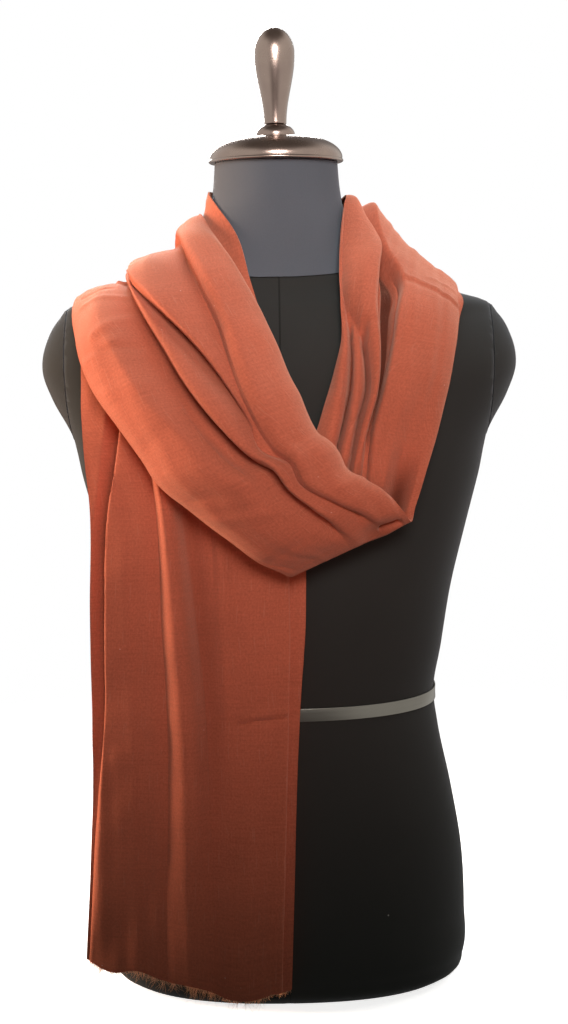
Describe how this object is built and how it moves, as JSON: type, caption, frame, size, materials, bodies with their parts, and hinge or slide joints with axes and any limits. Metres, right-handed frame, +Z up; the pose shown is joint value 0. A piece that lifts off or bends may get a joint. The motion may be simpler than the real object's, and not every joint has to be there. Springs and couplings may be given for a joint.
{
  "type": "pashmina shawl on a limbless dress form",
  "caption": "Pashmina shawl looped round the neck of a limbless dress form, with a bunched cowl across the chest and a fringed tail at front and back.",
  "frame": {"origin": "centre of the dress form's flat base, below the middle of its neck", "axes": "+Z up, the form faces -Y, +X towards the form's left arm"},
  "size_m": [0.398, 0.3214, 0.8078],
  "materials": {
    "pashmina": "soft rust-coloured fine wool, matt with a light nap",
    "pashmina_fringe": "short loose yarn ends in the same rust",
    "black_jersey": "matt black stretch jersey",
    "grey_jersey": "matt grey stretch jersey",
    "bronze_chrome": "polished metal with a bronze tint",
    "steel_strip": "satin steel strip"
  },
  "bodies": {
    "root": {"front_tail": "pashmina", "neck_wrap": "pashmina", "left_drop": "pashmina", "cowl": "pashmina", "back_tail": "pashmina", "fringe_front": "pashmina_fringe", "fringe_back": "pashmina_fringe", "torso": "black_jersey", "shoulder_cap_left": "black_jersey", "shoulder_cap_right": "black_jersey", "neck": "grey_jersey", "neck_cap": "bronze_chrome", "finial_collar": "bronze_chrome", "finial": "bronze_chrome", "waist_band": "steel_strip"}
  },
  "joints": []
}
